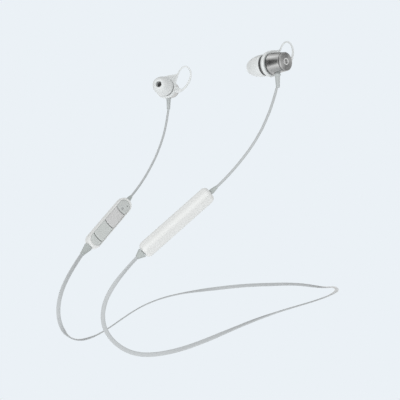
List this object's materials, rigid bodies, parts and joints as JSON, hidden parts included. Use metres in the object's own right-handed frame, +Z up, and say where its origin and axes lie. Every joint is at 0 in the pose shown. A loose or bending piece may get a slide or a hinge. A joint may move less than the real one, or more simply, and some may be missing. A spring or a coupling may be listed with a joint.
{
  "type": "neckband earphones",
  "caption": "Neckband earphones: metal earbuds with silicone tips and fins, a button remote and a battery box, joined by a flat neck cord and thin leads.",
  "frame": {"origin": "middle of the neck cord, where it rests on the nape", "axes": "+Z up as worn, -Y the way the wearer faces, +X the wearer's left, the side of the battery box"},
  "size_m": [0.1558, 0.1682, 0.1791],
  "materials": {
    "white_gloss": "gloss",
    "panel_grey": "satin",
    "soft_grey": "matt",
    "cord_grey": "satin",
    "silicone_clear": "satin, translucent",
    "brushed_metal": "turned, brushed round its axis",
    "dark_trim": "satin",
    "steel_mesh": "woven, dark",
    "magnet": "nickel plated",
    "circuit_board": "solder resist",
    "component_black": "matt",
    "shield_tin": "satin",
    "cell_foil": "foil",
    "light_guide": "clear, frosted"
  },
  "bodies": {
    "frame": {"left_end_cap": "brushed_metal", "left_metal_cup": "brushed_metal", "left_magnet": "magnet", "left_front_housing": "white_gloss", "left_driver": "component_black", "left_nozzle_mesh": "steel_mesh", "left_trim_ring": "dark_trim", "left_bud_relief": "soft_grey", "left_lead": "cord_grey", "right_end_cap": "brushed_metal", "right_metal_cup": "brushed_metal", "right_magnet": "magnet", "right_front_housing": "white_gloss", "right_driver": "component_black", "right_nozzle_mesh": "steel_mesh", "right_trim_ring": "dark_trim", "right_bud_relief": "soft_grey", "right_lead": "cord_grey", "neck_cord": "cord_grey", "battery_case_front": "white_gloss", "battery_case_back": "white_gloss", "battery_cell": "cell_foil", "main_board": "circuit_board", "radio_module": "shield_tin", "usb_socket": "shield_tin", "battery_neck_relief": "soft_grey", "battery_lead_relief": "soft_grey", "remote_cover": "white_gloss", "remote_base": "white_gloss", "remote_end_panel": "panel_grey", "volume_up_switch": "component_black", "centre_switch": "component_black", "volume_down_switch": "component_black", "remote_board": "circuit_board", "microphone": "shield_tin", "status_led": "light_guide", "remote_neck_relief": "soft_grey", "remote_lead_relief": "soft_grey"},
    "centre_button": {"centre_button": "panel_grey"},
    "left_ear_fin": {"left_ear_fin": "silicone_clear"},
    "left_ear_tip": {"left_ear_tip": "silicone_clear"},
    "right_ear_fin": {"right_ear_fin": "silicone_clear"},
    "right_ear_tip": {"right_ear_tip": "silicone_clear"},
    "usb_cover": {"usb_cover": "white_gloss"},
    "volume_down_button": {"volume_down_button": "panel_grey"},
    "volume_up_button": {"volume_up_button": "panel_grey"}
  },
  "joints": [
    {"name": "left_tip_slide", "type": "slide", "parent": "frame", "child": "left_ear_tip", "axis": [-0.9571, -0.288, -0.03], "range_m": [0, 0.012]},
    {"name": "right_tip_slide", "type": "slide", "parent": "frame", "child": "right_ear_tip", "axis": [0.7118, -0.7018, 0.0301], "range_m": [0, 0.012]},
    {"name": "left_fin_turn", "type": "hinge", "parent": "frame", "child": "left_ear_fin", "pos_m": [0.07695, -0.07333, 0.13087], "axis": [-0.9571, -0.288, -0.03], "range_deg": [-25, 25]},
    {"name": "right_fin_turn", "type": "hinge", "parent": "frame", "child": "right_ear_fin", "pos_m": [-0.07393, -0.07133, 0.13153], "axis": [0.7118, -0.7018, 0.0301], "range_deg": [-25, 25]},
    {"name": "volume_up_press", "type": "slide", "parent": "frame", "child": "volume_up_button", "axis": [-0.9665, -0.1608, -0.1998], "range_m": [0, 0.00035], "stiffness_N_per_m": 1500},
    {"name": "centre_press", "type": "slide", "parent": "frame", "child": "centre_button", "axis": [-0.9665, -0.1608, -0.1998], "range_m": [0, 0.00035], "stiffness_N_per_m": 1500},
    {"name": "volume_down_press", "type": "slide", "parent": "frame", "child": "volume_down_button", "axis": [-0.9665, -0.1608, -0.1998], "range_m": [0, 0.00035], "stiffness_N_per_m": 1500},
    {"name": "usb_cover_hinge", "type": "hinge", "parent": "frame", "child": "usb_cover", "pos_m": [0.04876, -0.12003, 0.04271], "axis": [-0.814, -0.2128, 0.5404], "range_deg": [0, 105]}
  ]
}
